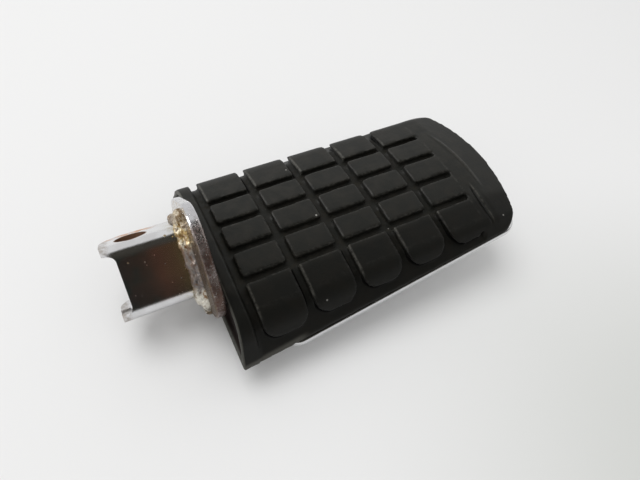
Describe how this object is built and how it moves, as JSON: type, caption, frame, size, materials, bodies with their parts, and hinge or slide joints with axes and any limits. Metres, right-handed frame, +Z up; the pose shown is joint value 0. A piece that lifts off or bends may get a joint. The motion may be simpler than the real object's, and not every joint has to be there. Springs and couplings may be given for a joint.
{
  "type": "motorcycle passenger footpeg",
  "caption": "Folding footrest for a passenger: block-tread rubber on a bright tray, with a welded folded tongue cross-bored for the pivot pin",
  "frame": {"origin": "the middle of the pivot pin's axis, halfway between the two ears of the tongue", "axes": "+X from the pivot toward the rounded tip, +Z up out of the tread, +Y to the side away from the viewer of the picture"},
  "size_m": [0.1287, 0.067, 0.0427],
  "materials": {
    "tongue_chrome": "polished, heat tinted",
    "plate_chrome": "polished, pitted",
    "tray_chrome": "polished",
    "weld": "rough, heat tinted",
    "bar_steel": "mill",
    "rubber": "matt",
    "zinc": "zinc plated"
  },
  "bodies": {
    "root": {"tongue_channel": "tongue_chrome", "end_plate": "plate_chrome", "tongue_weld": "weld", "support_bar": "bar_steel", "base_tray": "tray_chrome", "tray_weld": "weld", "tread_rubber": "rubber", "insert_plate": "bar_steel", "stud_inner": "zinc", "flat_washer_inner": "zinc", "spring_washer_inner": "zinc", "nut_inner": "zinc", "stud_outer": "zinc", "flat_washer_outer": "zinc", "spring_washer_outer": "zinc", "nut_outer": "zinc"}
  },
  "joints": []
}
